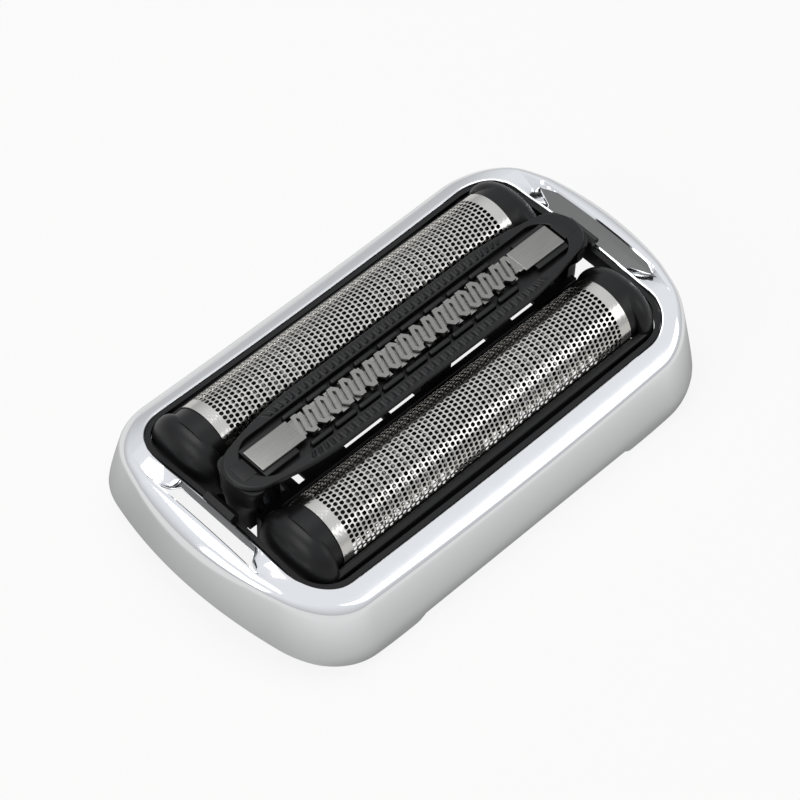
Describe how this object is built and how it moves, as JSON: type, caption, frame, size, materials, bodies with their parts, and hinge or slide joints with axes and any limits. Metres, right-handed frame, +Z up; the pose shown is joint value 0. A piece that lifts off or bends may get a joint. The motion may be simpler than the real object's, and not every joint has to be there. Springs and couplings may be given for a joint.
{
  "type": "foil shaver head",
  "caption": "Foil shaver cassette: chrome saddle-topped ring holding sprung black pods with arched perforated foils and a sprung centre trimmer with a zigzag steel guard.",
  "frame": {"origin": "centre of the foot rim's plane, below the middle of the opening", "axes": "+X along the foils, +Y across them, +Z up out of the foils"},
  "size_m": [0.0618, 0.0362, 0.0151],
  "materials": {
    "chrome_plating": "mirror bright plating on a moulded frame",
    "black_moulding": "black, low sheen",
    "satin_black": "black, soft satin",
    "foil_steel": "thin perforated steel, fine satin",
    "guard_steel": "brushed along its length",
    "blade_steel": "ground edges",
    "spring_steel": "bright rolled strip",
    "dark_bar": "dark grey, plain"
  },
  "bodies": {
    "head": {"chrome_frame": "chrome_plating", "inner_carrier": "black_moulding", "front_pod_spring_left": "spring_steel", "front_pod_spring_right": "spring_steel", "rear_pod_spring_left": "spring_steel", "rear_pod_spring_right": "spring_steel", "trimmer_spring_left": "spring_steel", "trimmer_spring_right": "spring_steel"},
    "front_pod": {"front_foil_pod": "satin_black", "front_foil": "foil_steel"},
    "rear_pod": {"rear_foil_pod": "satin_black", "rear_foil": "foil_steel"},
    "front_cutter": {"front_cutter_bar": "dark_bar", "front_cutter_blades": "blade_steel"},
    "rear_cutter": {"rear_cutter_bar": "dark_bar", "rear_cutter_blades": "blade_steel"},
    "trimmer": {"trimmer_body": "black_moulding", "trimmer_guard": "guard_steel"},
    "trimmer_knife": {"trimmer_blade": "blade_steel", "trimmer_slider": "dark_bar"}
  },
  "joints": [
    {"name": "front_pod_float", "type": "slide", "parent": "head", "child": "front_pod", "axis": [0, 0, -1], "range_m": [0, 0.0012], "stiffness_N_per_m": 500, "springref_m": -0.0006, "deforming": ["front_pod_spring_left", "front_pod_spring_right"]},
    {"name": "front_cutter_stroke", "type": "slide", "parent": "front_pod", "child": "front_cutter", "axis": [1, 0, 0], "range_m": [-0.0011, 0.0011]},
    {"name": "rear_pod_float", "type": "slide", "parent": "head", "child": "rear_pod", "axis": [0, 0, -1], "range_m": [0, 0.0012], "stiffness_N_per_m": 500, "springref_m": -0.0006, "deforming": ["rear_pod_spring_left", "rear_pod_spring_right"]},
    {"name": "rear_cutter_stroke", "type": "slide", "parent": "rear_pod", "child": "rear_cutter", "axis": [1, 0, 0], "range_m": [-0.0011, 0.0011]},
    {"name": "trimmer_float", "type": "slide", "parent": "head", "child": "trimmer", "axis": [0, 0, -1], "range_m": [0, 0.0012], "stiffness_N_per_m": 500, "springref_m": -0.0006, "deforming": ["trimmer_spring_left", "trimmer_spring_right"]},
    {"name": "trimmer_blade_stroke", "type": "slide", "parent": "trimmer", "child": "trimmer_knife", "axis": [1, 0, 0], "range_m": [-0.0008, 0.0008]}
  ]
}
